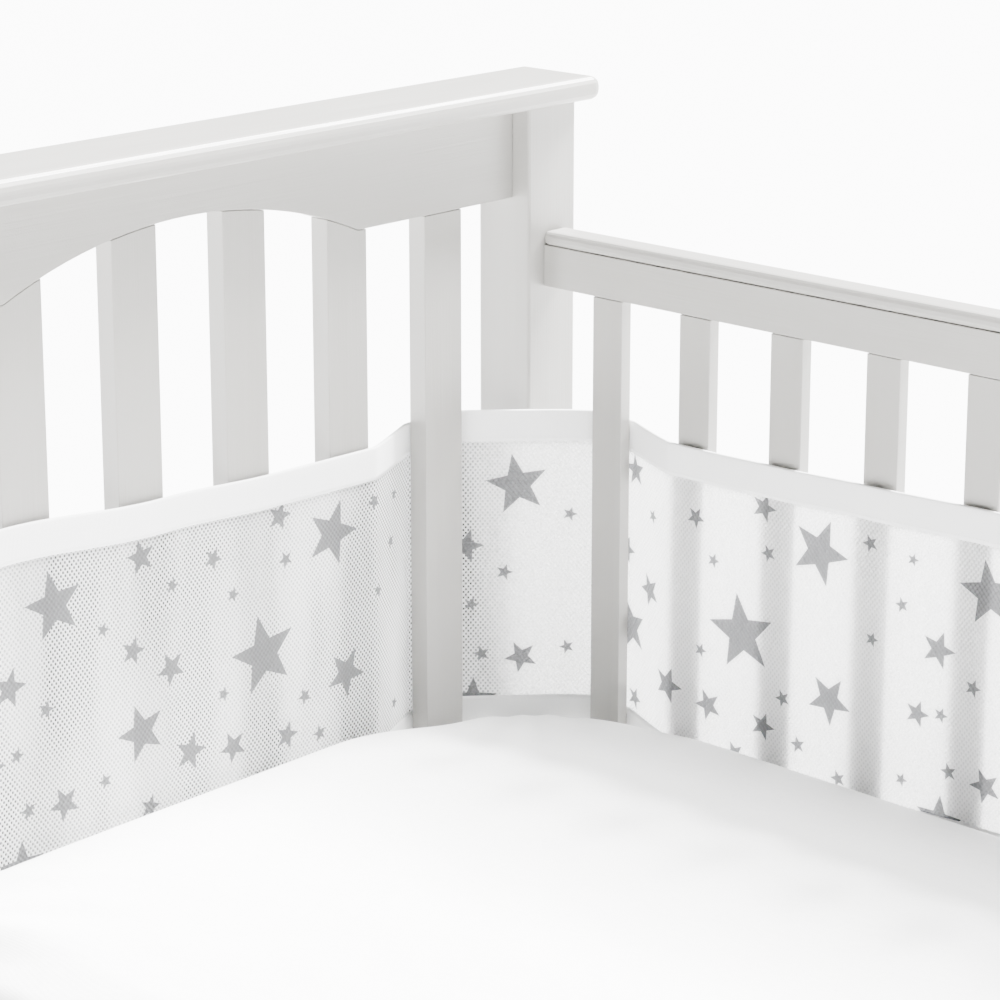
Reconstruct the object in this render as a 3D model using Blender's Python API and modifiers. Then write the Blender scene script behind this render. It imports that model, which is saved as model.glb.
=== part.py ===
"""A mesh crib bumper woven between the slats at the head corner of a wooden crib.

The crib is a plain carrier: its head end, one long side, the low frame of the
other two sides, the board and the mattress. Metres, +Z up. The origin is the
centre of the corner post's foot, +X runs along the long side and -Y along the
head end, so the sleeping space lies at +X and -Y.
"""
import math

import bmesh
import bpy
from mathutils import Vector

OBJECT_NAME = "mesh_bumper_on_crib_corner"

# Gap between pieces that touch
GAP = 0.0003

# Square corner posts
POST = 0.0524
HALF_POST = POST / 2
POST_EASE = 0.0020

# Low frame, board and mattress, as heights above the floor
LOW_RAIL_BOTTOM = 0.2860
LOW_RAIL_TOP = 0.3470
LOW_RAIL_OUTSIDE = 0.0190
LEDGE = 0.0100
BOARD_THICK = 0.0120
BOARD_EDGE_GAP = 0.0020
MATTRESS_TOP = 0.4800
LOW_POST_TOP = 0.3700

# Head end: slats under an arched apron and a rounded cap
HEAD_SLATS = 6
HEAD_SLAT_WIDTH = 0.0395
HEAD_SLAT_THICK = 0.0168
HEAD_SLAT_PITCH = 0.1000
HEAD_FIRST_GAP = 0.0570
HEAD_SETBACK = 0.0169
APRON_BOTTOM = MATTRESS_TOP + 0.4060
APRON_TOP = MATTRESS_TOP + 0.4770
APRON_THICK = 0.0210
ARCH_CHORD = 0.3240
ARCH_RISE = 0.0350
ARCH_STEPS = 24
SLAT_TOP_STEPS = 5
CAP_THICK = 0.0185
CAP_OVERHANG = 0.0150
CAP_ROUND = 0.0080

# Long side: slats between two rails, under a flat cap
SIDE_SLATS = 15
SIDE_SLAT_WIDTH = 0.0290
SIDE_SLAT_THICK = 0.0107
SIDE_SLAT_PITCH = 0.0856
SIDE_FIRST_GAP = 0.0508
SIDE_SETBACK = 0.0167
SIDE_RAIL_BOTTOM = MATTRESS_TOP + 0.3366
SIDE_RAIL_TOP = MATTRESS_TOP + 0.3690
SIDE_RAIL_THICK = 0.0190
SIDE_CAP_THICK = 0.0108
SIDE_CAP_WIDTH = 0.0250
SIDE_CAP_PROUD = 0.0014
SIDE_CAP_ROUND = 0.0040
SIDE_POST_RISE = 0.0150
WOOD_EASE = 0.0006

# Mattress in its fitted sheet
MATTRESS_LENGTH = 1.3000
MATTRESS_WIDTH = 0.6400
MATTRESS_INSET = 0.0075
MATTRESS_CORNER = 0.0700
MATTRESS_ROUND = 0.0160
SIDE_PUFF = 0.0180
HEAD_PUFF = 0.0100
CORNER_SINK = 0.0010
PUFF_ALONG_SIDE = (0.00, 0.20)
PUFF_FROM_CORNER = (0.00, 0.22)
PUFF_FROM_NEAR_SIDE = (0.00, 0.06)
CORNER_STEPS = 8
EDGE_STEPS = 8
ROUND_STEPS = 4
CROWN_INSETS = (0.060, 0.120, 0.200, 0.280)

# Bumper: a mesh panel with a folded tape along its top and along its foot
PANEL_THICK = 0.0020
TAPE_THICK = 0.0032
TAPE_WIDTH = 0.0250
BUMPER_HEIGHT = 0.2580
BUMPER_TOP = MATTRESS_TOP + 0.2410
CLOTH_CLEAR = 0.0022
CLOTH_LINE = CLOTH_CLEAR + TAPE_THICK / 2
CORNER_STANDOFF = 0.0127
TURN_LEAD = 0.0030
SLAT_LEAD = 0.0020
SIDE_TURN_LEAD = 0.0054
HEAD_END_MARGIN = 0.0210
SIDE_END_MARGIN = 0.0300
TURN_RADIUS = 0.0120
WRAP_RADIUS = 0.0050
PATH_STEP = 0.0120
ARC_STEP = math.radians(12)

# Rise of the whole bumper above its plain height, as it runs along the head end
# and along the side: (distance from the corner, rise)
HEAD_RISE = ((0.02, 0.004), (0.15, 0.000), (0.26, 0.002), (0.36, 0.0065), (0.50, 0.016), (0.66, 0.020))
SIDE_RISE = ((0.02, 0.004), (0.14, -0.003), (0.23, -0.002), (0.31, 0.001), (0.43, 0.004),
             (0.70, 0.006), (1.00, 0.002), (1.31, 0.004))

# How far the foot hangs lower towards the near end of the head end, and where
HEAD_SAG = 0.0085
SAG_ALONG_HEAD = (0.30, 0.60)

# Slack of the cloth towards the sleeping space: (distance from the corner, depth)
HEAD_SLACK = ((0.00, 0.0), (0.15, 0.0), (0.22, 0.0012), (0.31, 0.0003), (0.42, 0.0016),
              (0.53, 0.0004), (0.66, 0.0))
SIDE_SLACK = ((0.00, 0.0), (0.14, 0.0), (0.19, 0.0010), (0.24, 0.0002), (0.32, 0.0015), (0.41, 0.0003),
              (0.50, 0.0012), (0.66, 0.0004), (0.80, 0.0016), (0.96, 0.0003), (1.12, 0.0013), (1.31, 0.0))

# Lines and faces that follow from the sizes above
HEAD_CLEAR = 2 * HEAD_FIRST_GAP + (HEAD_SLATS - 1) * HEAD_SLAT_PITCH + HEAD_SLAT_WIDTH
SIDE_CLEAR = 2 * SIDE_FIRST_GAP + (SIDE_SLATS - 1) * SIDE_SLAT_PITCH + SIDE_SLAT_WIDTH
HEAD_FACE = HALF_POST - HEAD_SETBACK
SIDE_FACE = -HALF_POST + SIDE_SETBACK
NEAR_Y = -HALF_POST - HEAD_CLEAR - HALF_POST
FAR_X = HALF_POST + SIDE_CLEAR + HALF_POST
BOARD_BOTTOM = LOW_RAIL_TOP + GAP
MATTRESS_BOTTOM = BOARD_BOTTOM + BOARD_THICK + GAP


def finish(name, colour, roughness):
    """A plain material for one kind of surface."""
    material = bpy.data.materials.new(name)
    material.use_nodes = True
    shader = material.node_tree.nodes["Principled BSDF"]
    shader.inputs["Base Color"].default_value = (*colour, 1.0)
    shader.inputs["Roughness"].default_value = roughness
    shader.inputs["Metallic"].default_value = 0.0
    return material


def place(piece, material):
    """Give a piece its material and put it in the object's collection."""
    piece.data.materials.append(material)
    bpy.data.collections[OBJECT_NAME].objects.link(piece)
    return piece


def ease_edges(piece, width, segments=2):
    """Round over the sharp edges of a wooden piece."""
    bevel = piece.modifiers.new("eased_edges", "BEVEL")
    bevel.width = width
    bevel.segments = segments
    bevel.limit_method = "ANGLE"
    bevel.angle_limit = math.radians(40)


def block(name, low, high, material, ease=WOOD_EASE, segments=2):
    """A squared length of wood between two corners."""
    low = Vector(low)
    high = Vector(high)
    mesh = bpy.data.meshes.new(name)
    cube = bmesh.new()
    bmesh.ops.create_cube(cube, size=1.0)
    bmesh.ops.scale(cube, vec=high - low, verts=cube.verts)
    cube.to_mesh(mesh)
    cube.free()
    piece = bpy.data.objects.new(name, mesh)
    piece.location = (low + high) / 2
    ease_edges(piece, ease, segments)
    return place(piece, material)


def sawn_plate(name, outline, thickness, location, rotation, material, ease=WOOD_EASE):
    """A flat piece sawn to an outline, as thick as the board it comes from."""
    curve = bpy.data.curves.new(name, "CURVE")
    curve.dimensions = "2D"
    curve.fill_mode = "BOTH"
    curve.extrude = thickness / 2
    spline = curve.splines.new("POLY")
    spline.points.add(len(outline) - 1)
    for point, (across, up) in zip(spline.points, outline):
        point.co = (across, up, 0.0, 1.0)
    spline.use_cyclic_u = True
    piece = bpy.data.objects.new(name, curve)
    piece.location = location
    piece.rotation_euler = rotation
    weld = piece.modifiers.new("closed_caps", "WELD")
    weld.merge_threshold = 0.0001
    if ease > 0:
        ease_edges(piece, ease)
    return place(piece, material)


def smooth_step(start, end, value):
    """A soft rise from 0 at start to 1 at end."""
    share = min(max((value - start) / (end - start), 0.0), 1.0)
    return share * share * (3 - 2 * share)


def read_table(table, place_along):
    """The value of a short table at a place, eased from row to row."""
    for (start, first), (end, second) in zip(table, table[1:]):
        if place_along <= end:
            return first + (second - first) * smooth_step(start, end, place_along)
    return table[-1][1]


def build_posts(wood):
    """Two tall posts at the head end, one at side height and one low post."""
    side_post_top = SIDE_RAIL_TOP + SIDE_CAP_THICK + SIDE_POST_RISE
    posts = (
        ("corner_post", 0.0, 0.0, APRON_TOP),
        ("head_end_post", 0.0, NEAR_Y, APRON_TOP),
        ("long_side_post", FAR_X, 0.0, side_post_top),
        ("low_post", FAR_X, NEAR_Y, LOW_POST_TOP),
    )
    for name, x, y, top in posts:
        low = (x - HALF_POST, y - HALF_POST, 0.0)
        high = (x + HALF_POST, y + HALF_POST, top)
        block(name, low, high, wood, POST_EASE)


def arch_underside(y):
    """Height of the apron's lower edge at a place along the head end."""
    middle = -HALF_POST - HEAD_CLEAR / 2
    half_chord = ARCH_CHORD / 2
    radius = (half_chord ** 2 + ARCH_RISE ** 2) / (2 * ARCH_RISE)
    offset = abs(y - middle)
    if offset >= half_chord:
        return APRON_BOTTOM
    return APRON_BOTTOM + ARCH_RISE - radius + math.sqrt(radius ** 2 - offset ** 2)


def stand_across(x):
    """Location and rotation of a plate whose outline is given as (y, z), at one x."""
    return (x, 0.0, 0.0), (math.pi / 2, 0.0, math.pi / 2)


def build_head_end(wood):
    """The arched apron, its cap, the low rail and six slats."""
    corner_end = -HALF_POST - GAP
    far_end = -HALF_POST - HEAD_CLEAR + GAP
    middle = -HALF_POST - HEAD_CLEAR / 2
    arch = [middle - ARCH_CHORD / 2 + ARCH_CHORD * i / ARCH_STEPS for i in range(ARCH_STEPS + 1)]
    outline = [(far_end, APRON_TOP), (far_end, APRON_BOTTOM)]
    outline += [(y, arch_underside(y)) for y in arch]
    outline += [(corner_end, APRON_BOTTOM), (corner_end, APRON_TOP)]
    location, rotation = stand_across(HEAD_FACE - APRON_THICK / 2)
    sawn_plate("head_apron", outline, APRON_THICK, location, rotation, wood)

    reach = HALF_POST + CAP_OVERHANG
    cap_low = (-reach, NEAR_Y - reach, APRON_TOP + GAP)
    cap_high = (reach, reach, APRON_TOP + GAP + CAP_THICK)
    block("head_cap", cap_low, cap_high, wood, CAP_ROUND, 4)

    rail_low = (HEAD_FACE - LOW_RAIL_OUTSIDE, far_end, LOW_RAIL_BOTTOM)
    rail_high = (HEAD_FACE + LEDGE, corner_end, LOW_RAIL_TOP)
    block("head_low_rail", rail_low, rail_high, wood)

    for i in range(HEAD_SLATS):
        near = -HALF_POST - HEAD_FIRST_GAP - i * HEAD_SLAT_PITCH
        steps = [near - HEAD_SLAT_WIDTH * k / SLAT_TOP_STEPS for k in range(SLAT_TOP_STEPS + 1)]
        outline = [(near - HEAD_SLAT_WIDTH, LOW_RAIL_TOP + GAP), (near, LOW_RAIL_TOP + GAP)]
        outline += [(y, arch_underside(y) - GAP) for y in steps]
        location, rotation = stand_across(HEAD_FACE - HEAD_SLAT_THICK / 2)
        sawn_plate(f"head_slat_{i + 1}", outline, HEAD_SLAT_THICK, location, rotation, wood)


def build_long_side(wood):
    """The top rail and its cap, the low rail and fifteen slats."""
    start = HALF_POST + GAP
    end = HALF_POST + SIDE_CLEAR - GAP
    rail_back = SIDE_FACE + SIDE_RAIL_THICK
    block("side_top_rail", (start, SIDE_FACE, SIDE_RAIL_BOTTOM), (end, rail_back, SIDE_RAIL_TOP), wood)

    cap_front = SIDE_FACE - SIDE_CAP_PROUD
    cap_low = (start, cap_front, SIDE_RAIL_TOP + GAP)
    cap_high = (end, cap_front + SIDE_CAP_WIDTH, SIDE_RAIL_TOP + GAP + SIDE_CAP_THICK)
    block("side_cap", cap_low, cap_high, wood, SIDE_CAP_ROUND, 3)

    low_rail_low = (start, SIDE_FACE - LEDGE, LOW_RAIL_BOTTOM)
    low_rail_high = (end, SIDE_FACE + LOW_RAIL_OUTSIDE, LOW_RAIL_TOP)
    block("side_low_rail", low_rail_low, low_rail_high, wood)

    for i in range(SIDE_SLATS):
        near = HALF_POST + SIDE_FIRST_GAP + i * SIDE_SLAT_PITCH
        low = (near, SIDE_FACE, LOW_RAIL_TOP + GAP)
        high = (near + SIDE_SLAT_WIDTH, SIDE_FACE + SIDE_SLAT_THICK, SIDE_RAIL_BOTTOM - GAP)
        block(f"side_slat_{i + 1:02d}", low, high, wood)


def build_low_frame(wood):
    """The low rails of the near side and of the foot end, and the board on all four."""
    start = HALF_POST + GAP
    near_face = NEAR_Y - SIDE_FACE
    near_low = (start, near_face - LOW_RAIL_OUTSIDE, LOW_RAIL_BOTTOM)
    near_high = (HALF_POST + SIDE_CLEAR - GAP, near_face + LEDGE, LOW_RAIL_TOP)
    block("near_low_rail", near_low, near_high, wood)

    foot_face = FAR_X - HEAD_FACE
    foot_low = (foot_face - LEDGE, NEAR_Y + start, LOW_RAIL_BOTTOM)
    foot_high = (foot_face + LOW_RAIL_OUTSIDE, -start, LOW_RAIL_TOP)
    block("foot_low_rail", foot_low, foot_high, wood)

    left = HEAD_FACE + BOARD_EDGE_GAP
    right = foot_face - BOARD_EDGE_GAP
    back = SIDE_FACE - BOARD_EDGE_GAP
    front = near_face + BOARD_EDGE_GAP
    notch = HALF_POST + BOARD_EDGE_GAP
    outline = [
        (left, -notch), (left, NEAR_Y + notch), (notch, NEAR_Y + notch), (notch, front),
        (FAR_X - notch, front), (FAR_X - notch, NEAR_Y + notch), (right, NEAR_Y + notch), (right, -notch),
        (FAR_X - notch, -notch), (FAR_X - notch, back), (notch, back), (notch, -notch),
    ]
    location = (0.0, 0.0, BOARD_BOTTOM + BOARD_THICK / 2)
    sawn_plate("mattress_board", outline, BOARD_THICK, location, (0.0, 0.0, 0.0), wood, 0.0)


def rounded_rectangle(left, right, front, back, radius):
    """Plan points of a rectangle with round corners, the same count at any size."""
    corners = (
        (right - radius, back - radius, 0.0),
        (left + radius, back - radius, math.pi / 2),
        (left + radius, front + radius, math.pi),
        (right - radius, front + radius, 3 * math.pi / 2),
    )
    arcs = []
    for x, y, start in corners:
        angles = [start + math.pi / 2 * i / CORNER_STEPS for i in range(CORNER_STEPS + 1)]
        arcs.append([(x + radius * math.cos(a), y + radius * math.sin(a)) for a in angles])
    points = []
    for arc, following in zip(arcs, arcs[1:] + arcs[:1]):
        points += arc
        (x0, y0), (x1, y1) = arc[-1], following[0]
        shares = [i / EDGE_STEPS for i in range(1, EDGE_STEPS)]
        points += [(x0 + (x1 - x0) * share, y0 + (y1 - y0) * share) for share in shares]
    return points


def close_loft(name, rings, material):
    """A closed skin over rings of equal count, with a flat face at each end."""
    body = bmesh.new()
    loops = [[body.verts.new(point) for point in ring] for ring in rings]
    for lower, upper in zip(loops, loops[1:]):
        for i in range(len(lower)):
            following = (i + 1) % len(lower)
            body.faces.new((lower[i], lower[following], upper[following], upper[i]))
    body.faces.new(list(reversed(loops[0])))
    body.faces.new(loops[-1])
    bmesh.ops.recalc_face_normals(body, faces=body.faces)
    mesh = bpy.data.meshes.new(name)
    body.to_mesh(mesh)
    body.free()
    return place(bpy.data.objects.new(name, mesh), material)


def build_mattress(linen):
    """A mattress in a fitted sheet: round edges, a soft crown and sunken corners."""
    left = HEAD_FACE + MATTRESS_INSET
    right = left + MATTRESS_LENGTH
    back = SIDE_FACE - MATTRESS_INSET
    front = back - MATTRESS_WIDTH

    def lift(x, y):
        along_side = smooth_step(*PUFF_ALONG_SIDE, min(x - left, right - x))
        along_head = smooth_step(*PUFF_FROM_CORNER, back - y) * smooth_step(*PUFF_FROM_NEAR_SIDE, y - front)
        puff = SIDE_PUFF + HEAD_PUFF * along_head
        return puff * (1 - (1 - along_side) * (1 - along_head)) - CORNER_SINK

    def ring(inset, height, follows_crown):
        radius = max(MATTRESS_CORNER - inset, MATTRESS_ROUND / 2)
        plan = rounded_rectangle(left + inset, right - inset, front + inset, back - inset, radius)
        return [(x, y, height + (lift(x, y) if follows_crown else 0.0)) for x, y in plan]

    quarter = [math.pi / 2 * i / ROUND_STEPS for i in range(ROUND_STEPS + 1)]
    rings = []
    for angle in quarter:
        inset = MATTRESS_ROUND * (1 - math.sin(angle))
        rings.append(ring(inset, MATTRESS_BOTTOM + MATTRESS_ROUND * (1 - math.cos(angle)), False))
    for angle in quarter:
        inset = MATTRESS_ROUND * (1 - math.cos(angle))
        rings.append(ring(inset, MATTRESS_TOP - MATTRESS_ROUND * (1 - math.sin(angle)), True))
    for inset in CROWN_INSETS:
        rings.append(ring(inset, MATTRESS_TOP, True))
    close_loft("mattress", rings, linen)


def rounded_path(corners):
    """Plan points of a route through corners, each with its radius, with long runs divided."""
    points = [Vector(corners[0][0])]
    for (before, _), (corner, radius), (after, _) in zip(corners, corners[1:], corners[2:]):
        corner = Vector(corner)
        inward = (corner - Vector(before)).normalized()
        outward = (Vector(after) - corner).normalized()
        turn = inward.angle_signed(outward)
        tangent = radius * math.tan(abs(turn) / 2)
        side = math.copysign(1.0, turn)
        centre = corner - inward * tangent + Vector((inward.y, -inward.x)) * side * radius
        spoke = corner - inward * tangent - centre
        count = max(2, math.ceil(abs(turn) / ARC_STEP))
        for i in range(count + 1):
            angle = -turn * i / count
            cos, sin = math.cos(angle), math.sin(angle)
            points.append(centre + Vector((spoke.x * cos - spoke.y * sin, spoke.x * sin + spoke.y * cos)))
    points.append(Vector(corners[-1][0]))
    route = [points[0]]
    for start, end in zip(points, points[1:]):
        count = max(1, math.ceil((end - start).length / PATH_STEP))
        route += [start.lerp(end, i / count) for i in range(1, count + 1)]
    return route


def bumper_route():
    """The middle line of the cloth in plan, from the head end round to the side's far end.

    It runs inside the head slats, out between the first two, behind the first,
    straight across the corner, behind the first side slat and back inside.
    """
    head_inside = HEAD_FACE + CLOTH_LINE
    head_outside = HEAD_FACE - HEAD_SLAT_THICK - CLOTH_LINE
    side_inside = SIDE_FACE - CLOTH_LINE
    side_outside = SIDE_FACE + SIDE_SLAT_THICK + CLOTH_LINE
    diagonal = POST + CORNER_STANDOFF * math.sqrt(2)
    second_head_slat = -HALF_POST - HEAD_FIRST_GAP - HEAD_SLAT_PITCH
    first_head_slat_far = -HALF_POST - HEAD_FIRST_GAP - HEAD_SLAT_WIDTH
    first_side_slat_far = HALF_POST + SIDE_FIRST_GAP + SIDE_SLAT_WIDTH
    second_side_slat = HALF_POST + SIDE_FIRST_GAP + SIDE_SLAT_PITCH
    return rounded_path((
        ((head_inside, -HALF_POST - HEAD_CLEAR + HEAD_END_MARGIN), 0.0),
        ((head_inside, second_head_slat + TURN_LEAD), TURN_RADIUS),
        ((head_outside, first_head_slat_far - SLAT_LEAD), WRAP_RADIUS),
        ((head_outside, head_outside - diagonal), WRAP_RADIUS),
        ((side_outside + diagonal, side_outside), WRAP_RADIUS),
        ((first_side_slat_far + SLAT_LEAD, side_outside), WRAP_RADIUS),
        ((second_side_slat - SIDE_TURN_LEAD, side_inside), TURN_RADIUS),
        ((HALF_POST + SIDE_CLEAR - SIDE_END_MARGIN, side_inside), 0.0),
    ))


def drape(route):
    """Each place of the cloth: its plan point with the slack, its sideways normal, rise and sag."""
    places = []
    for i, point in enumerate(route):
        forward = (route[min(i + 1, len(route) - 1)] - route[max(i - 1, 0)]).normalized()
        inwards = Vector((forward.y, -forward.x))
        along_head = max(-HALF_POST - point.y, 0.0)
        along_side = max(point.x - HALF_POST, 0.0)
        if along_head > along_side:
            rise, slack = read_table(HEAD_RISE, along_head), read_table(HEAD_SLACK, along_head)
        else:
            rise, slack = read_table(SIDE_RISE, along_side), read_table(SIDE_SLACK, along_side)
        sag = HEAD_SAG * smooth_step(*SAG_ALONG_HEAD, along_head)
        places.append((point + inwards * slack, inwards, rise, sag))
    return places


def hang_cloth(name, places, thickness, low, high, material):
    """A strip of cloth of one thickness between two heights of the bumper."""
    sections = []
    for point, inwards, rise, sag in places:
        inner = point + inwards * thickness / 2
        outer = point - inwards * thickness / 2
        bottom, top = (edge + rise - sag * (BUMPER_TOP - edge) / BUMPER_HEIGHT for edge in (low, high))
        sections.append([
            (inner.x, inner.y, bottom),
            (outer.x, outer.y, bottom),
            (outer.x, outer.y, top),
            (inner.x, inner.y, top),
        ])
    return close_loft(name, sections, material)


def build_bumper(mesh_cloth, tape):
    """The mesh panel between its two tapes."""
    places = drape(bumper_route())
    foot = BUMPER_TOP - BUMPER_HEIGHT
    panel_low = foot + TAPE_WIDTH + GAP
    panel_high = BUMPER_TOP - TAPE_WIDTH - GAP
    hang_cloth("bumper_mesh_panel", places, PANEL_THICK, panel_low, panel_high, mesh_cloth)
    hang_cloth("bumper_top_tape", places, TAPE_THICK, BUMPER_TOP - TAPE_WIDTH, BUMPER_TOP, tape)
    hang_cloth("bumper_foot_tape", places, TAPE_THICK, foot, foot + TAPE_WIDTH, tape)


for old in list(bpy.data.objects):
    bpy.data.objects.remove(old, do_unlink=True)

collection = bpy.data.collections.new(OBJECT_NAME)
bpy.context.scene.collection.children.link(collection)

white_paint = finish("white_painted_wood", (0.80, 0.79, 0.77), 0.42)
sheet_linen = finish("white_fitted_sheet", (0.86, 0.86, 0.86), 0.85)
mesh_white = finish("white_spacer_mesh", (0.88, 0.88, 0.88), 0.80)
tape_white = finish("white_binding_tape", (0.83, 0.83, 0.83), 0.75)

build_posts(white_paint)
build_head_end(white_paint)
build_long_side(white_paint)
build_low_frame(white_paint)
build_mattress(sheet_linen)
build_bumper(mesh_white, tape_white)
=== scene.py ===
"""A mesh crib bumper with a star print, woven round the corner of a white wooden crib."""
import math

import bmesh
import bpy
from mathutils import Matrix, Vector, noise
from mathutils.geometry import delaunay_2d_cdt


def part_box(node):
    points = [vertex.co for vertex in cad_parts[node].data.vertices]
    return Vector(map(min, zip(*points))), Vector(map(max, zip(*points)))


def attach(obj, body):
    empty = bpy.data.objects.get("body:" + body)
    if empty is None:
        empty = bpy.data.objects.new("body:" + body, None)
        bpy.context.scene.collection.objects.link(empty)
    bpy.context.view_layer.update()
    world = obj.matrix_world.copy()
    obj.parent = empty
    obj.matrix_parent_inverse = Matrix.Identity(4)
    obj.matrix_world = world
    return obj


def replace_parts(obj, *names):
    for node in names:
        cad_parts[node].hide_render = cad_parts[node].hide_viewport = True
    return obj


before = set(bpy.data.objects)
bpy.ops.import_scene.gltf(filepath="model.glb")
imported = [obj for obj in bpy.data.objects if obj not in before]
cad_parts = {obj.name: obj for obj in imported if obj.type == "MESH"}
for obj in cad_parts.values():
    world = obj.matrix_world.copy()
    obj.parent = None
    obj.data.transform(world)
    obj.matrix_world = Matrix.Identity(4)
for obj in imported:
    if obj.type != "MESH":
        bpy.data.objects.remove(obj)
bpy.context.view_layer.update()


# Corner posts. Four square lengths of pine, planed, with their edges eased, and
# brushed with a satin white paint that shows faint strokes and the grain under it.

POSTS = ("corner_post", "head_end_post", "long_side_post", "low_post")
# These paint colours are a light grey, far darker than the white paint itself: the darkening is painted
# shade, which keeps the wood darker than the lit white cloth.
PAINT = (0.305, 0.298, 0.282)
PAINT_THIN = (0.266, 0.256, 0.235)
PAINT_WORN = (0.236, 0.218, 0.190)
PAINT_ROUGHNESS = (0.34, 0.50)
GRAIN_ALONG = 2.2
GRAIN_ACROSS = 85.0
BRUSH_ALONG = 9.0
BRUSH_ACROSS = 620.0
PEEL_SCALE = 950.0
CLOUD_SCALE = 7.0
WEAR_SCALE = 34.0
EDGE_WEAR_WIDTH = 0.0013


def add_node(tree, kind, inputs, **settings):
    """One shader node, with its settings and its fixed or linked inputs."""
    made = tree.nodes.new(kind)
    for name, value in settings.items():
        setattr(made, name, value)
    for name, value in inputs.items():
        if isinstance(value, bpy.types.NodeSocket):
            tree.links.new(value, made.inputs[name])
        else:
            made.inputs[name].default_value = value
    return made


def math_node(tree, operation, first, second=0.0):
    """The result of one sum on two numbers."""
    return add_node(tree, "ShaderNodeMath", {0: first, 1: second}, operation=operation).outputs[0]


def ease_node(tree, value, low, high, from_value=0.0, to_value=1.0):
    """A soft step of a number between two limits."""
    inputs = {"Value": value, "From Min": low, "From Max": high, "To Min": from_value, "To Max": to_value}
    return add_node(tree, "ShaderNodeMapRange", inputs, interpolation_type="SMOOTHSTEP").outputs[0]


def blend_colours(tree, share, first, second):
    """A mix of two colours, each fixed or linked."""
    first = first if isinstance(first, bpy.types.NodeSocket) else (*first, 1.0)
    second = second if isinstance(second, bpy.types.NodeSocket) else (*second, 1.0)
    return add_node(tree, "ShaderNodeMix", {0: share, 6: first, 7: second}, data_type="RGBA").outputs[2]


def noise_node(tree, place, scale, detail=2.0):
    """The value of a noise pattern."""
    inputs = {"Vector": place, "Scale": scale, "Detail": detail}
    return add_node(tree, "ShaderNodeTexNoise", inputs).outputs[0]


def new_finish(name):
    """An empty material, its node tree and its shader."""
    material = bpy.data.materials.new(name)
    material.use_nodes = True
    return material, material.node_tree, material.node_tree.nodes["Principled BSDF"]


def stretched_place(tree, place, grain, along, across):
    """Coordinates pressed together across the grain, so that a pattern runs along it."""
    scale = [across] * 3
    scale["XYZ".index(grain)] = along
    return add_node(tree, "ShaderNodeMapping", {"Vector": place, "Scale": scale}).outputs[0]


def painted_wood(grain):
    """Satin white paint brushed along a piece whose grain runs on this axis, in colours greyed with painted
    shade.
    """
    material, tree, shader = new_finish(f"white_painted_wood_{grain.lower()}")
    place = add_node(tree, "ShaderNodeTexCoord", {}).outputs["Object"]
    fibre = noise_node(tree, stretched_place(tree, place, grain, GRAIN_ALONG, GRAIN_ACROSS), 1.0, 4.0)
    brush = noise_node(tree, stretched_place(tree, place, grain, BRUSH_ALONG, BRUSH_ACROSS), 1.0, 3.0)
    peel = noise_node(tree, place, PEEL_SCALE)
    cloud = noise_node(tree, place, CLOUD_SCALE, 3.0)

    thin = math_node(tree, "MULTIPLY", ease_node(tree, fibre, 0.50, 0.78), 0.30)
    coat = blend_colours(tree, thin, PAINT, PAINT_THIN)
    coat = blend_colours(tree, ease_node(tree, cloud, 0.3, 0.9, 0.0, 0.16), coat, PAINT_THIN)

    eased = add_node(tree, "ShaderNodeBevel", {"Radius": EDGE_WEAR_WIDTH}, samples=4).outputs[0]
    face = add_node(tree, "ShaderNodeNewGeometry", {}).outputs["Normal"]
    both = add_node(tree, "ShaderNodeVectorMath", {0: eased, 1: face}, operation="DOT_PRODUCT")
    bend = both.outputs["Value"]
    patchy = ease_node(tree, noise_node(tree, place, WEAR_SCALE, 4.0), 0.45, 0.70)
    worn = math_node(tree, "MULTIPLY", ease_node(tree, bend, 0.995, 0.90), patchy)
    coat = blend_colours(tree, math_node(tree, "MULTIPLY", worn, 0.35), coat, PAINT_WORN)
    tree.links.new(coat, shader.inputs["Base Color"])

    tree.links.new(ease_node(tree, brush, 0.2, 0.8, *PAINT_ROUGHNESS), shader.inputs["Roughness"])
    strokes = math_node(tree, "MULTIPLY", brush, 0.5)
    relief = math_node(tree, "ADD", math_node(tree, "MULTIPLY", fibre, 0.9), strokes)
    relief = math_node(tree, "ADD", relief, math_node(tree, "MULTIPLY", peel, 0.25))
    bump = add_node(tree, "ShaderNodeBump", {"Height": relief, "Strength": 0.60, "Distance": 0.0005})
    tree.links.new(bump.outputs[0], shader.inputs["Normal"])
    shader.inputs["Coat Weight"].default_value = 0.12
    shader.inputs["Coat Roughness"].default_value = 0.28
    return material


def paint(names, material):
    """Give these CAD pieces one finish."""
    for name in names:
        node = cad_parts[name]
        node.data.materials.clear()
        node.data.materials.append(material)


upright_paint = painted_wood("Z")
paint(POSTS, upright_paint)


# Head end. Six upright slats between a low rail and a sawn arched apron, under a
# thick rounded cap, all glued up and painted with the posts.

HEAD_SLATS = [f"head_slat_{i}" for i in range(1, 7)]

cross_paint = painted_wood("Y")
paint(HEAD_SLATS, upright_paint)
paint(("head_apron", "head_cap", "head_low_rail"), cross_paint)


# Long side. Fifteen slim slats between a top and a low rail, with a flat cap that
# leaves a narrow groove above the rail.

SIDE_SLATS = [f"side_slat_{i:02d}" for i in range(1, 16)]

long_paint = painted_wood("X")
paint(SIDE_SLATS, upright_paint)
paint(("side_top_rail", "side_cap", "side_low_rail"), long_paint)


# Low frame. Two more low rails, and the board that lies on the ledges of all four
# and carries the mattress.

paint(("near_low_rail", "mattress_board"), long_paint)
paint(("foot_low_rail",), cross_paint)


# Mattress in its fitted sheet. A firm foam block in a white percale sheet, drawn
# tight over the round edges, with a dart sewn down each corner and gathers below it.

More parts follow.
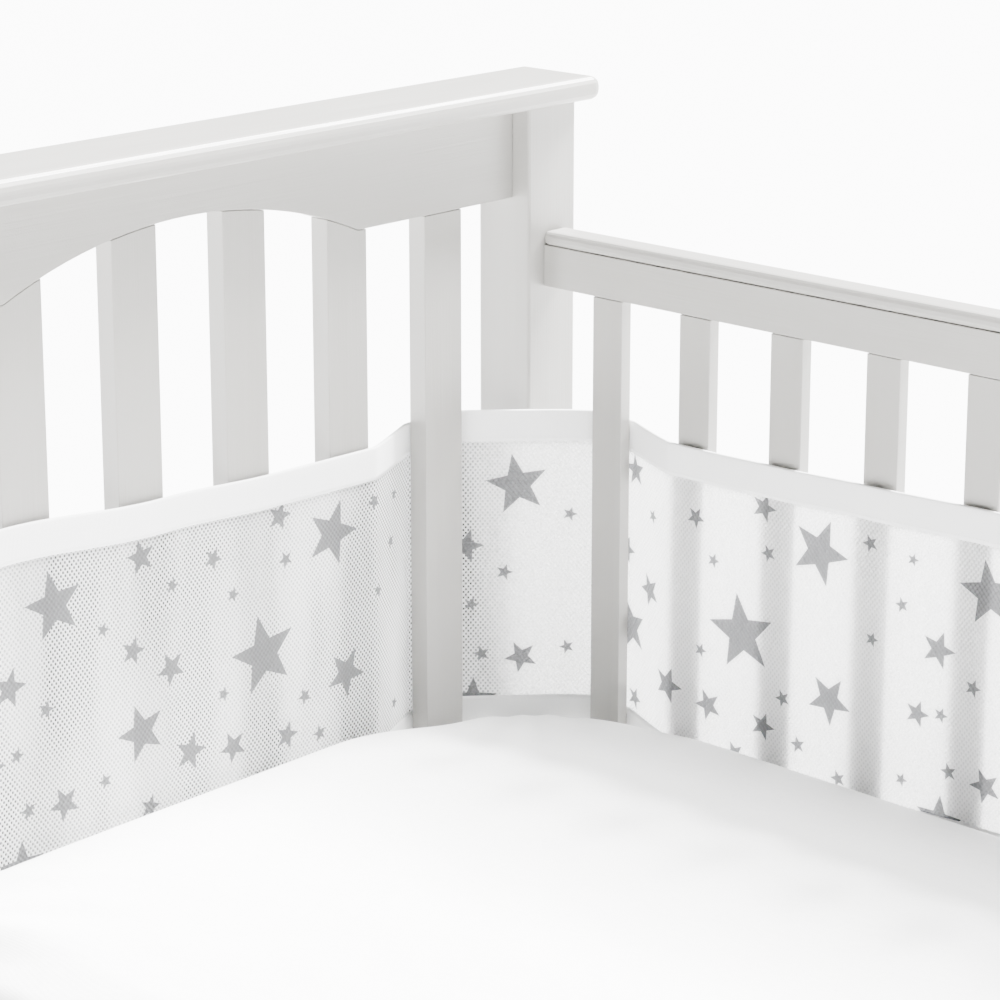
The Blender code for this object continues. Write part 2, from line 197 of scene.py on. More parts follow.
SHEET_WHITE = (0.900, 0.900, 0.895)
SHEET_SHADE = (0.840, 0.840, 0.842)
THREAD_PITCH = 0.0009
SLUB_SCALE = 240.0
CREASE_SCALE = 16.0
MATTRESS_CORNER = 0.0700
MATTRESS_ROUND = 0.0160
SIDE_PUFF = 0.0180
HEAD_PUFF = 0.0100
CORNER_SINK = 0.0010
PUFF_ALONG_SIDE = (0.00, 0.20)
PUFF_FROM_CORNER = (0.00, 0.22)
PUFF_FROM_NEAR_SIDE = (0.00, 0.06)
MATTRESS_TOP = 0.4800
ROUND_STEPS = 7
SIDE_ROWS = 10
TOP_RING_STEP = 0.0090
LAST_INSET = 0.3100
CORNER_POINTS = 18
EDGE_POINTS = (64, 130)
DRAW_DEPTH = 0.0018
DRAW_FOLDS = 15.0
GATHER_DEPTH = 0.0014
GATHER_PITCH = 0.0170
CORNER_REACH = 0.22


def smooth_step(start, end, value):
    """A soft rise from 0 at start to 1 at end."""
    share = min(max((value - start) / (end - start), 0.0), 1.0)
    return share * share * (3 - 2 * share)


def add_mesh(name, points, faces, materials, uses=None):
    """A mesh piece that rides on the crib, with its finishes."""
    mesh = bpy.data.meshes.new(name)
    mesh.from_pydata(points, [], faces)
    for material in materials:
        mesh.materials.append(material)
    if uses:
        mesh.polygons.foreach_set("material_index", uses)
    for polygon in mesh.polygons:
        polygon.use_smooth = True
    piece = bpy.data.objects.new(name, mesh)
    bpy.context.scene.collection.objects.link(piece)
    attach(piece, "root")
    return piece


def face_outwards(piece):
    """Turn every face of a closed piece outwards."""
    shell = bmesh.new()
    shell.from_mesh(piece.data)
    bmesh.ops.recalc_face_normals(shell, faces=shell.faces)
    shell.to_mesh(piece.data)
    shell.free()


def percale():
    """Fine plain-woven cotton with soft creases."""
    material, tree, shader = new_finish("white_fitted_sheet")
    place = add_node(tree, "ShaderNodeTexCoord", {}).outputs["Object"]
    axes = add_node(tree, "ShaderNodeSeparateXYZ", {"Vector": place}).outputs
    turns = [math_node(tree, "MULTIPLY", axis, math.tau / THREAD_PITCH) for axis in axes]
    threads = [math_node(tree, "SINE", turn) for turn in turns]
    weave = math_node(tree, "ADD", math_node(tree, "MULTIPLY", threads[0], threads[1]), threads[2])
    slub = noise_node(tree, place, SLUB_SCALE, 3.0)
    crease = noise_node(tree, place, CREASE_SCALE, 3.0)
    cloth = blend_colours(tree, ease_node(tree, slub, 0.35, 0.80, 0.0, 0.35), SHEET_WHITE, SHEET_SHADE)
    tree.links.new(cloth, shader.inputs["Base Color"])
    tree.links.new(ease_node(tree, slub, 0.2, 0.8, 0.82, 0.94), shader.inputs["Roughness"])
    fine = add_node(tree, "ShaderNodeBump", {"Height": weave, "Strength": 0.18, "Distance": 0.00012})
    broad = add_node(tree, "ShaderNodeBump", {"Height": crease, "Strength": 0.45, "Distance": 0.0060,
                                              "Normal": fine.outputs[0]})
    tree.links.new(broad.outputs[0], shader.inputs["Normal"])
    shader.inputs["Sheen Weight"].default_value = 0.18
    shader.inputs["Sheen Roughness"].default_value = 0.45
    return material


def rounded_rectangle(left, right, front, back, radius):
    """Plan points of a rectangle with round corners, the same count at any size."""
    corners = (
        (right - radius, back - radius, 0.0),
        (left + radius, back - radius, math.pi / 2),
        (left + radius, front + radius, math.pi),
        (right - radius, front + radius, 3 * math.pi / 2),
    )
    arcs = []
    for x, y, start in corners:
        angles = [start + math.pi / 2 * i / CORNER_POINTS for i in range(CORNER_POINTS + 1)]
        arcs.append([(x + radius * math.cos(a), y + radius * math.sin(a)) for a in angles])
    points = []
    for i, (arc, following) in enumerate(zip(arcs, arcs[1:] + arcs[:1])):
        points += arc
        (x0, y0), (x1, y1) = arc[-1], following[0]
        count = EDGE_POINTS[(i + 1) % 2]
        points += [(x0 + (x1 - x0) * k / count, y0 + (y1 - y0) * k / count) for k in range(1, count)]
    return points


def build_mattress():
    """The sheet pulled over the mattress: round edges, soft crown, folded and gathered corners."""
    low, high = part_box("mattress")
    left, right, front, back = low.x, high.x, low.y, high.y
    bottom = low.z

    def lift(x, y):
        along_side = smooth_step(*PUFF_ALONG_SIDE, min(x - left, right - x))
        along_head = smooth_step(*PUFF_FROM_CORNER, back - y) * smooth_step(*PUFF_FROM_NEAR_SIDE, y - front)
        puff = SIDE_PUFF + HEAD_PUFF * along_head
        return puff * (1 - (1 - along_side) * (1 - along_head)) - CORNER_SINK

    def draw_lines(x, y):
        """Shallow folds that fan out from the nearest corner of the sheet."""
        across = min(x - left, right - x)
        along = min(back - y, y - front)
        reach = math.hypot(across, along)
        fade = smooth_step(0.02, 0.07, reach) * (1 - smooth_step(0.10, CORNER_REACH, reach))
        waver = 3.0 * noise.noise(Vector((x, y, 0.0)) * 9.0)
        fan = math.sin(math.atan2(along, across) * DRAW_FOLDS + waver)
        broad = noise.noise(Vector((x, y, 0.3)) * 6.5)
        return DRAW_DEPTH * (fan * fade * 0.7 + broad * 0.9 * smooth_step(0.0, 0.08, min(across, along)))

    def gather(x, y, height):
        """How far the elastic draws the sheet in, low on the side and near a corner."""
        across = min(x - left, right - x)
        along = min(back - y, y - front)
        corner = 1 - smooth_step(0.10, 0.30, max(across, along))
        depth = 1 - smooth_step(bottom, MATTRESS_TOP - 0.02, height)
        wave = math.sin((x + y) * math.tau / GATHER_PITCH + 2.5 * noise.noise(Vector((x, y, 0.0)) * 20))
        return GATHER_DEPTH * (0.5 + 0.5 * wave) * depth * (0.25 + 0.75 * corner)

    def ring(inset, height, on_top):
        radius = max(MATTRESS_CORNER - inset, MATTRESS_ROUND / 2)
        points = []
        for x, y in rounded_rectangle(left + inset, right - inset, front + inset, back - inset, radius):
            if on_top:
                points.append((x, y, height + lift(x, y) + draw_lines(x, y)))
            else:
                pull = gather(x, y, height)
                inwards = (Vector(((left + right) / 2, (front + back) / 2)) - Vector((x, y))).normalized()
                points.append((x + inwards.x * pull, y + inwards.y * pull, height))
        return points

    quarter = [math.pi / 2 * i / ROUND_STEPS for i in range(ROUND_STEPS + 1)]
    rings = []
    for angle in quarter:
        inset = MATTRESS_ROUND * (1 - math.sin(angle))
        rings.append(ring(inset, bottom + MATTRESS_ROUND * (1 - math.cos(angle)), False))
    side_low, side_high = bottom + MATTRESS_ROUND, MATTRESS_TOP - MATTRESS_ROUND
    for row in range(1, SIDE_ROWS):
        rings.append(ring(0.0, side_low + (side_high - side_low) * row / SIDE_ROWS, False))
    for angle in quarter:
        inset = MATTRESS_ROUND * (1 - math.cos(angle))
        rings.append(ring(inset, MATTRESS_TOP - MATTRESS_ROUND * (1 - math.sin(angle)), True))
    inset = MATTRESS_ROUND + TOP_RING_STEP
    while inset < LAST_INSET:
        rings.append(ring(inset, MATTRESS_TOP, True))
        inset += TOP_RING_STEP

    count = len(rings[0])
    points = [point for each in rings for point in each]
    faces = []
    for row in range(len(rings) - 1):
        for i in range(count):
            following = (i + 1) % count
            faces.append((row * count + i, row * count + following,
                          (row + 1) * count + following, (row + 1) * count + i))
    faces.append(tuple(reversed(range(count))))
    faces.append(tuple(range(len(points) - count, len(points))))
    piece = add_mesh("mattress_in_fitted_sheet", points, faces, (percale(),))
    face_outwards(piece)
    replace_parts(piece, "mattress")


build_mattress()


# Mesh panel of the bumper. One length of white knitted spacer mesh with rows of
# small open holes and a scattered star print, woven between the first slats.

CLOTH_CLEAR = 0.0022
TAPE_THICK = 0.0032
CLOTH_LINE = CLOTH_CLEAR + TAPE_THICK / 2
CORNER_STANDOFF = 0.0127
TURN_LEAD = 0.0030
SLAT_LEAD = 0.0020
SIDE_TURN_LEAD = 0.0054
HEAD_END_MARGIN = 0.0210
SIDE_END_MARGIN = 0.0300
TURN_RADIUS = 0.0120
WRAP_RADIUS = 0.0050
PATH_STEP = 0.0050
ARC_STEP = math.radians(10)
HEAD_RISE = ((0.02, 0.004), (0.15, 0.000), (0.26, 0.002), (0.36, 0.0065), (0.50, 0.016), (0.66, 0.020))
SIDE_RISE = ((0.02, 0.004), (0.14, -0.003), (0.23, -0.002), (0.31, 0.001), (0.43, 0.004),
             (0.70, 0.006), (1.00, 0.002), (1.31, 0.004))
HEAD_SLACK = ((0.00, 0.0), (0.15, 0.0), (0.22, 0.0012), (0.31, 0.0003), (0.42, 0.0016),
              (0.53, 0.0004), (0.66, 0.0))
SIDE_SLACK = ((0.00, 0.0), (0.14, 0.0), (0.19, 0.0010), (0.24, 0.0002), (0.32, 0.0015), (0.41, 0.0003),
              (0.50, 0.0012), (0.66, 0.0004), (0.80, 0.0016), (0.96, 0.0003), (1.12, 0.0013), (1.31, 0.0))
HEAD_SAG = 0.0085
SAG_ALONG_HEAD = (0.30, 0.60)
BUMPER_TOP = 0.2410
BUMPER_FOOT = -0.0170
PANEL_THICK = 0.0013
TUCK = 0.0170
PANEL_ROWS = 24
PANEL_BELLY = 0.0006
PANEL_RIPPLE = 0.0007
RIPPLE_ALONG = 13.0
RIPPLE_UP = 7.0
YARN_SCALE = 130.0
FIBRE_SCALE = 2600.0
SHADE_PATCH_SCALE = (14.0, 2.5, 1.0)
HOLE_PITCH_ALONG = 0.0038
HOLE_PITCH_UP = 0.0023
HOLE_CLEARNESS = 0.36
PRINT_CLEARNESS = 0.16
GLOW_SHARE = 0.52
MESH_WHITE = (0.965, 0.965, 0.963)
# The hole colour is painted shade, near black, for the shade inside and behind the knit's holes. Its
# strength varies in noise patches: full along the head end, faint from the middle of the corner stretch on
# along the long side.
MESH_HOLE_PAINTED_SHADE = (0.020, 0.021, 0.023)
HOLE_SHADE = (0.38, 1.00)
HOLE_SHADE_PAST_CORNER = 0.05
HOLE_SHADE_FADE_ALONG = (-0.024, 0.006)
STAR_GREY = (0.190, 0.192, 0.196)
STAR_GREY_BEHIND = (0.560, 0.562, 0.568)
STAR_WAIST = 0.42

# One repeat of the print: millimetres along from its largest star, millimetres
# above the mattress line, radius in millimetres, lean in degrees
STAR_REPEAT = (
    (0, 107, 31, -10), (70, 184, 26, 21), (-190, 181, 25, -10), (82, 73, 20, 32), (-117, 76, 22, -16),
    (-72, 49, 15, 18), (-230, 132, 14.5, 17), (-88, 116, 13.5, -26), (-31, 43, 13, -26),
    (-187, 40, 13.5, -26), (-113, 203, 13, -10), (18, 208, 11.5, 18), (21, 39, 11.5, 18),
    (-123, 137, 11, 18), (-246, 81, 10.5, 17), (-46, 188, 8.8, 29), (23, 174, 7, -25), (39, 65, 7, -24),
    (54, 32, 7, -13), (-39, 85, 6, 19), (-28, 158, 6, 19), (-85, 176, 6, 19), (-149, 157, 6, 18),
    (-151, 48, 6.2, -20), (-200, 110, 7, 18), (-218, 43, 7, -14), (-226, 84, 6.2, 19), (-225, 4, 20, 2),
    (-111, 19, 9.5, 18), (-5, 11, 9.5, -26), (92, 14, 7, -20), (115, 199, 7, -24), (119, 128, 6, 17),
    (144, 159, 6, -15), (148, 28, 5.5, 22), (152, 194, 5, 16),
)

# Where the largest star of each repeat falls along the cloth, and the stretch of
# cloth that the repeat covers, in metres from the corner
STAR_RUNS = (
    (-0.677, -0.70, -0.085), (-0.271, -0.70, -0.085), (0.1958, -0.085, 0.070), (0.2208, 0.070, 0.1475),
    (0.2308, 0.150, 1.40), (0.6368, 0.150, 1.40), (1.0428, 0.150, 1.40), (1.4488, 0.150, 1.40),
)


def read_table(table, place_along):
    """The value of a short table at a place, eased from row to row."""
    for (start, first), (end, second) in zip(table, table[1:]):
        if place_along <= end:
            return first + (second - first) * smooth_step(start, end, place_along)
    return table[-1][1]


def rounded_path(corners):
    """Plan points of a route through corners, each with its radius, with long runs divided."""
    points = [Vector(corners[0][0])]
    for (before, _), (corner, radius), (after, _) in zip(corners, corners[1:], corners[2:]):
        corner = Vector(corner)
        inward = (corner - Vector(before)).normalized()
        outward = (Vector(after) - corner).normalized()
        turn = inward.angle_signed(outward)
        tangent = radius * math.tan(abs(turn) / 2)
        side = math.copysign(1.0, turn)
        centre = corner - inward * tangent + Vector((inward.y, -inward.x)) * side * radius
        spoke = corner - inward * tangent - centre
        count = max(2, math.ceil(abs(turn) / ARC_STEP))
        for i in range(count + 1):
            angle = -turn * i / count
            cos, sin = math.cos(angle), math.sin(angle)
            points.append(centre + Vector((spoke.x * cos - spoke.y * sin, spoke.x * sin + spoke.y * cos)))
    points.append(Vector(corners[-1][0]))
    route = [points[0]]
    for start, end in zip(points, points[1:]):
        count = max(1, math.ceil((end - start).length / PATH_STEP))
        route += [start.lerp(end, i / count) for i in range(1, count + 1)]
    return route


def bumper_route():
    """The middle line of the cloth in plan, from the head end round to the side's far end."""
    half_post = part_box("corner_post")[1].x
    head_first, head_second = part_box("head_slat_1"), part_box("head_slat_2")
    side_first, side_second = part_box("side_slat_01"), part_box("side_slat_02")
    head_inside = head_first[1].x + CLOTH_LINE
    head_outside = head_first[0].x - CLOTH_LINE
    side_inside = side_first[0].y - CLOTH_LINE
    side_outside = side_first[1].y + CLOTH_LINE
    diagonal = 2 * half_post + CORNER_STANDOFF * math.sqrt(2)
    head_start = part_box("head_end_post")[1].y + HEAD_END_MARGIN
    side_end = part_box("long_side_post")[0].x - SIDE_END_MARGIN
    return rounded_path((
        ((head_inside, head_start), 0.0),
        ((head_inside, head_second[1].y + TURN_LEAD), TURN_RADIUS),
        ((head_outside, head_first[0].y - SLAT_LEAD), WRAP_RADIUS),
        ((head_outside, head_outside - diagonal), WRAP_RADIUS),
        ((side_outside + diagonal, side_outside), WRAP_RADIUS),
        ((side_first[1].x + SLAT_LEAD, side_outside), WRAP_RADIUS),
        ((side_second[0].x - SIDE_TURN_LEAD, side_inside), TURN_RADIUS),
        ((side_end, side_inside), 0.0),
    ))


def lay_out_cloth():
    """Stations along the cloth: length from the corner, plan point, inward direction, rise, sag."""
    half_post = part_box("corner_post")[1].x
    route = bumper_route()
    along = route[0].y + half_post
    stations = []
    for i, point in enumerate(route):
        if i:
            along += (point - route[i - 1]).length
        forward = (route[min(i + 1, len(route) - 1)] - route[max(i - 1, 0)]).normalized()
        inwards = Vector((forward.y, -forward.x))
        along_head = max(-half_post - point.y, 0.0)
        along_side = max(point.x - half_post, 0.0)
        if along_head > along_side:
            rise, slack = read_table(HEAD_RISE, along_head), read_table(HEAD_SLACK, along_head)
        else:
            rise, slack = read_table(SIDE_RISE, along_side), read_table(SIDE_SLACK, along_side)
        sag = HEAD_SAG * smooth_step(*SAG_ALONG_HEAD, along_head)
        stations.append((along, point + inwards * slack, inwards, rise, sag))
    return stations


STATIONS = lay_out_cloth()
CLOTH_START = STATIONS[0][0]
CLOTH_END = STATIONS[-1][0]


def on_cloth(along, up, out=0.0):
    """The point in space of a place on the flat cloth, moved out towards the sleeping space."""
    low, high = 0, len(STATIONS) - 1
    while high - low > 1:
        middle = (low + high) // 2
        if STATIONS[middle][0] <= along:
            low = middle
        else:
            high = middle
    start, end = STATIONS[low], STATIONS[high]
    share = min(max((along - start[0]) / (end[0] - start[0]), 0.0), 1.0)
    inwards = start[2].lerp(end[2], share).normalized()
    point = start[1].lerp(end[1], share) + inwards * out
    rise = start[3] + (end[3] - start[3]) * share
    sag = (start[4] + (end[4] - start[4]) * share) * (BUMPER_TOP - up) / (BUMPER_TOP - BUMPER_FOOT)
    return (point.x, point.y, MATTRESS_TOP + up + rise - sag)


def star_outline(along, up, radius, lean):
    """The ten points of a five-pointed star on the flat cloth."""
    outline = []
    for i in range(10):
        angle = math.radians(90 - lean) + math.pi / 5 * i
        reach = radius * (STAR_WAIST if i % 2 else 1.0)
        outline.append((along + reach * math.cos(angle), up + reach * math.sin(angle)))
    return outline


def printed_stars(low, high):
    """The outlines of every star on the panel, cut off at the panel's edges."""
    stars = []
    for origin, run_start, run_end in STAR_RUNS:
        for along, up, radius, lean in STAR_REPEAT:
            middle = origin + along / 1000
            reach = radius / 1000
            if not run_start <= middle < run_end:
                continue
            if middle + reach < CLOTH_START or middle - reach > CLOTH_END:
                continue
            outline = star_outline(middle, up / 1000, reach, lean)
            stars.append([(min(max(u, CLOTH_START), CLOTH_END), min(max(v, low), high)) for u, v in outline])
    return stars


def inside(outline, u, v):
    """Whether a place on the flat cloth is inside an outline."""
    found = False
    for (u0, v0), (u1, v1) in zip(outline, outline[1:] + outline[:1]):
        if (v0 > v) != (v1 > v) and u < (u1 - u0) * (v - v0) / (v1 - v0) + u0:
            found = not found
    return found


def knitted_mesh(name, yarn, painted_hole_colour, clearness):
    """Open spacer mesh: rows of small holes, half a pitch apart from row to row, with painted shade in the
    holes.
    """
    material, tree, shader = new_finish(name)
    flat = add_node(tree, "ShaderNodeUVMap", {}, uv_map="flat_cloth").outputs[0]
    axes = add_node(tree, "ShaderNodeSeparateXYZ", {"Vector": flat}).outputs
    along = math_node(tree, "COSINE", math_node(tree, "MULTIPLY", axes[0], math.tau / HOLE_PITCH_ALONG))
    up = math_node(tree, "COSINE", math_node(tree, "MULTIPLY", axes[1], math.pi / HOLE_PITCH_UP))
    lattice = math_node(tree, "MULTIPLY", along, up)
    open_part = ease_node(tree, lattice, 0.22, 0.62)
    uneven = noise_node(tree, flat, YARN_SCALE, 3.0)
    tone = blend_colours(tree, ease_node(tree, uneven, 0.3, 0.8, 0.0, 0.03), yarn, painted_hole_colour)
    # Painted shade in the holes: strong in stretched noise patches and along the head end, fading to faint
    # past the corner and along the long side.
    stretch = add_node(tree, "ShaderNodeMapping", {"Vector": flat, "Scale": SHADE_PATCH_SCALE}).outputs[0]
    shade_patches = ease_node(tree, noise_node(tree, stretch, 1.0), 0.42, 0.60, *HOLE_SHADE)
    head_end_shade = ease_node(tree, axes[0], *HOLE_SHADE_FADE_ALONG, 1.0, HOLE_SHADE_PAST_CORNER)
    shade_strength = math_node(tree, "MULTIPLY", shade_patches, head_end_shade)
    painted_hole_darkening = math_node(tree, "MULTIPLY", ease_node(tree, lattice, 0.12, 0.40), shade_strength)
    tone = blend_colours(tree, painted_hole_darkening, tone, painted_hole_colour)
    tree.links.new(tone, shader.inputs["Base Color"])
    cover = math_node(tree, "SUBTRACT", 1.0, math_node(tree, "MULTIPLY", open_part, clearness))
    tree.links.new(cover, shader.inputs["Alpha"])
    tree.links.new(ease_node(tree, uneven, 0.2, 0.8, 0.70, 0.88), shader.inputs["Roughness"])
    fibre = math_node(tree, "MULTIPLY", noise_node(tree, flat, FIBRE_SCALE), 0.35)
    relief = math_node(tree, "SUBTRACT", fibre, lattice)
    bump = add_node(tree, "ShaderNodeBump", {"Height": relief, "Strength": 0.90, "Distance": 0.00060})
    tree.links.new(bump.outputs[0], shader.inputs["Normal"])
    shader.inputs["Sheen Weight"].default_value = 0.15
    glow = add_node(tree, "ShaderNodeBsdfTranslucent", {"Color": tone, "Normal": bump.outputs[0]})
    mixed = add_node(tree, "ShaderNodeMixShader", {0: GLOW_SHARE, 1: shader.outputs[0], 2: glow.outputs[0]})
    tree.links.new(mixed.outputs[0], tree.nodes["Material Output"].inputs["Surface"])
    return material


def flat_map(piece, places):
    """Keep each point's place on the flat cloth, in metres, as the piece's UV map."""
    layer = piece.data.uv_layers.new(name="flat_cloth")
    for loop in piece.data.loops:
        layer.data[loop.index].uv = places[loop.vertex_index]


def build_panel():
    """The mesh panel: flat cloth divided round each star, then laid along its route."""
    low, high = BUMPER_FOOT + TUCK, BUMPER_TOP - TUCK
    rows = [low + (high - low) * i / PANEL_ROWS for i in range(PANEL_ROWS + 1)]
    flat = [Vector((station[0], up)) for station in STATIONS for up in rows]
    stars = printed_stars(low, high)
    seams = []
    for star in stars:
        first = len(flat)
        flat += [Vector(point) for point in star]
        seams += [(first + i, first + (i + 1) % len(star)) for i in range(len(star))]
    made = delaunay_2d_cdt(flat, seams, [], 0, 1e-6, False)
    corners, triangles = made[0], made[2]
    boxes = [(min(u for u, _ in star), max(u for u, _ in star), star) for star in stars]
    uses = []
    for triangle in triangles:
        u = sum(corners[i].x for i in triangle) / 3
        v = sum(corners[i].y for i in triangle) / 3
        printed = any(start < u < end and inside(star, u, v) for start, end, star in boxes)
        uses.append(1 if printed else 0)
    materials = (
        knitted_mesh("white_spacer_mesh", MESH_WHITE, MESH_HOLE_PAINTED_SHADE, HOLE_CLEARNESS),
        knitted_mesh("star_print_on_mesh", STAR_GREY, STAR_GREY, PRINT_CLEARNESS),
        knitted_mesh("white_spacer_mesh_behind", MESH_WHITE, MESH_HOLE_PAINTED_SHADE, HOLE_CLEARNESS),
        knitted_mesh("star_print_seen_behind", STAR_GREY_BEHIND, STAR_GREY_BEHIND, PRINT_CLEARNESS),
    )

    def bulge(along, up):
        """How far the loose middle of the mesh stands out of its edges' line."""
        free = math.sin(math.pi * (up - low) / (high - low))
        ripple = noise.noise(Vector((along * RIPPLE_ALONG, up * RIPPLE_UP, 0.5)))
        return free * (PANEL_BELLY + PANEL_RIPPLE * ripple)

    points = [on_cloth(corner.x, corner.y, bulge(corner.x, corner.y)) for corner in corners]
    piece = add_mesh("bumper_mesh", points, triangles, materials, uses)
    flat_map(piece, [(corner.x, corner.y) for corner in corners])
    body = piece.modifiers.new("cloth_thickness", "SOLIDIFY")
    body.thickness = PANEL_THICK
    body.offset = 0.0
    body.material_offset = 2
    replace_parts(piece, "bumper_mesh_panel")
    return piece, high - low


bumper_mesh, panel_height = build_panel()


# Top and foot tapes of the bumper. Each is one length of soft white tape folded
# over the raw edge of the mesh, so that both its faces are bound.

TAPE_WIDTH = 0.0250
TAPE_WALL = 0.0009
TAPE_WHITE = (0.925, 0.925, 0.922)
TAPE_SHADE = (0.855, 0.857, 0.859)
RIB_PITCH = 0.0011
FOLD_POINTS = 7
PUCKER_DEPTH = 0.00016
PUCKER_PITCH = 0.0085
EDGE_WANDER = 0.0006
WANDER_ALONG = 11.0
WANDER_UP = 40.0
BINDING_FIBRE_SCALE = 900.0
STITCH_FROM_EDGE = 0.0030


def tape_cloth():
    """Soft ribbed binding tape."""
    material, tree, shader = new_finish("white_binding_tape")
    flat = add_node(tree, "ShaderNodeUVMap", {}, uv_map="flat_cloth").outputs[0]
    axes = add_node(tree, "ShaderNodeSeparateXYZ", {"Vector": flat}).outputs
    rib = math_node(tree, "SINE", math_node(tree, "MULTIPLY", axes[0], math.tau / RIB_PITCH))
    fibre = noise_node(tree, flat, BINDING_FIBRE_SCALE, 3.0)
    tone = blend_colours(tree, ease_node(tree, fibre, 0.3, 0.8, 0.0, 0.5), TAPE_WHITE, TAPE_SHADE)
    tree.links.new(tone, shader.inputs["Base Color"])
    tree.links.new(ease_node(tree, fibre, 0.2, 0.8, 0.66, 0.84), shader.inputs["Roughness"])
    relief = math_node(tree, "ADD", rib, fibre)
    bump = add_node(tree, "ShaderNodeBump", {"Height": relief, "Strength": 0.30, "Distance": 0.0002})
    tree.links.new(bump.outputs[0], shader.inputs["Normal"])
    shader.inputs["Sheen Weight"].default_value = 0.20
    return material


def folded_profile():
    """The section of a folded tape: (out, distance from its open edge), going round once."""
    half = TAPE_THICK / 2
    slot = half - TAPE_WALL
    spring = TAPE_WIDTH - half
    heights = (0.0, STITCH_FROM_EDGE, 2 * STITCH_FROM_EDGE, 0.012, 0.018)
    profile = [(half, height) for height in heights]
    angles = [math.pi * i / FOLD_POINTS for i in range(FOLD_POINTS + 1)]
    profile += [(half * math.cos(a), spring + half * math.sin(a)) for a in angles]
    profile += [(-half, height) for height in reversed(heights)]
    profile += [(-slot, height) for height in heights]
    profile += [(-slot * math.cos(a), spring + slot * math.sin(a)) for a in angles]
    profile += [(slot, height) for height in reversed(heights)]
    return profile


def build_tape(name, node, open_edge, direction, material):
    """A folded tape laid along the edge of the mesh, with the pull of its stitches."""
    profile = folded_profile()
    points, places = [], []
    for along, *_ in STATIONS:
        wander = EDGE_WANDER * noise.noise(Vector((along * WANDER_ALONG, open_edge * WANDER_UP, 0.0)))
        for out, height in profile:
            near_stitch = 1 - smooth_step(0.0, 0.006, abs(height - STITCH_FROM_EDGE))
            pull = PUCKER_DEPTH * near_stitch * (1 + math.sin(along * math.tau / PUCKER_PITCH))
            eased = out - math.copysign(pull, out) if abs(out) > TAPE_THICK / 2 - TAPE_WALL / 2 else out
            points.append(on_cloth(along, open_edge + direction * height + wander, eased))
            places.append((along, height + (0.03 if out < 0 else 0.0)))
    count = len(profile)
    faces = []
    for row in range(len(STATIONS) - 1):
        for i in range(count):
            following = (i + 1) % count
            faces.append((row * count + i, row * count + following,
                          (row + 1) * count + following, (row + 1) * count + i))
    faces.append(tuple(range(count)))
    faces.append(tuple(range(len(points) - count, len(points))))
    piece = add_mesh(name, points, faces, (material,))
    face_outwards(piece)
    flat_map(piece, places)
    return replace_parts(piece, node)


binding = tape_cloth()
top_tape = build_tape("bumper_top_binding", "bumper_top_tape", BUMPER_TOP - TAPE_WIDTH, 1, binding)
foot_tape = build_tape("bumper_foot_binding", "bumper_foot_tape", BUMPER_FOOT + TAPE_WIDTH, -1, binding)


# Stitching of the tapes. One row of white lockstitch near the open edge of each
# tape, through both its walls and the mesh, so it shows on both faces.

STITCH_PITCH = 0.0030
STITCH_LENGTH = 0.0024
THREAD_RADIUS = 0.00022
THREAD_SIDES = 5
THREAD_RINGS = (0.0, 0.12, 0.50, 0.88, 1.0)
TWIST_SCALE = 3200.0
THREAD_WHITE = (0.860, 0.858, 0.850)


def twisted_thread():
    """Glossy polyester sewing thread."""
    material, tree, shader = new_finish("white_sewing_thread")
    place = add_node(tree, "ShaderNodeTexCoord", {}).outputs["Object"]
    twist = noise_node(tree, place, TWIST_SCALE)
    tone = blend_colours(tree, ease_node(tree, twist, 0.3, 0.7, 0.0, 0.4), THREAD_WHITE, TAPE_SHADE)
    tree.links.new(tone, shader.inputs["Base Color"])
    bump = add_node(tree, "ShaderNodeBump", {"Height": twist, "Strength": 0.3, "Distance": 0.0001})
    tree.links.new(bump.outputs[0], shader.inputs["Normal"])
    shader.inputs["Roughness"].default_value = 0.45
    return material


def build_stitches(name, rows):
    """Every stitch of the rows, each a short thread that dips in at both its ends."""
    points, faces = [], []
    for up, out in rows:
        face_side = math.copysign(1.0, out)
        count = int((CLOTH_END - CLOTH_START - STITCH_PITCH) / STITCH_PITCH)
        for stitch in range(count):
            start = CLOTH_START + STITCH_PITCH * (stitch + 0.5)
            first = len(points)
            for share in THREAD_RINGS:
                swell = math.sin(math.pi * min(max(share, 0.06), 0.94))
                for side in range(THREAD_SIDES):
                    angle = math.tau * side / THREAD_SIDES
                    reach = THREAD_RADIUS * (0.45 + 0.55 * swell)
                    lift = face_side * THREAD_RADIUS * (1.4 * swell - 1.0)
                    points.append(on_cloth(start + STITCH_LENGTH * share, up + reach * math.sin(angle),
                                           out + lift + reach * math.cos(angle)))
            for ring in range(len(THREAD_RINGS) - 1):
                for side in range(THREAD_SIDES):
                    following = (side + 1) % THREAD_SIDES
                    base = first + ring * THREAD_SIDES
                    faces.append((base + side, base + following,
                                  base + THREAD_SIDES + following, base + THREAD_SIDES + side))
            last = first + (len(THREAD_RINGS) - 1) * THREAD_SIDES
            faces.append(tuple(range(first, first + THREAD_SIDES)))
            faces.append(tuple(range(last, last + THREAD_SIDES)))
    piece = add_mesh(name, points, faces, (twisted_thread(),))
    face_outwards(piece)
    return piece


stitch_out = TAPE_THICK / 2 - PUCKER_DEPTH
top_row = BUMPER_TOP - TAPE_WIDTH + STITCH_FROM_EDGE
foot_row = BUMPER_FOOT + TAPE_WIDTH - STITCH_FROM_EDGE
stitches = build_stitches("tape_stitches", (
    (top_row, stitch_out), (top_row, -stitch_out), (foot_row, stitch_out), (foot_row, -stitch_out),
))


# Studio. A plain pale floor and surround, a soft light from overhead, and a stronger
# one from behind the long side, which shines through the mesh.

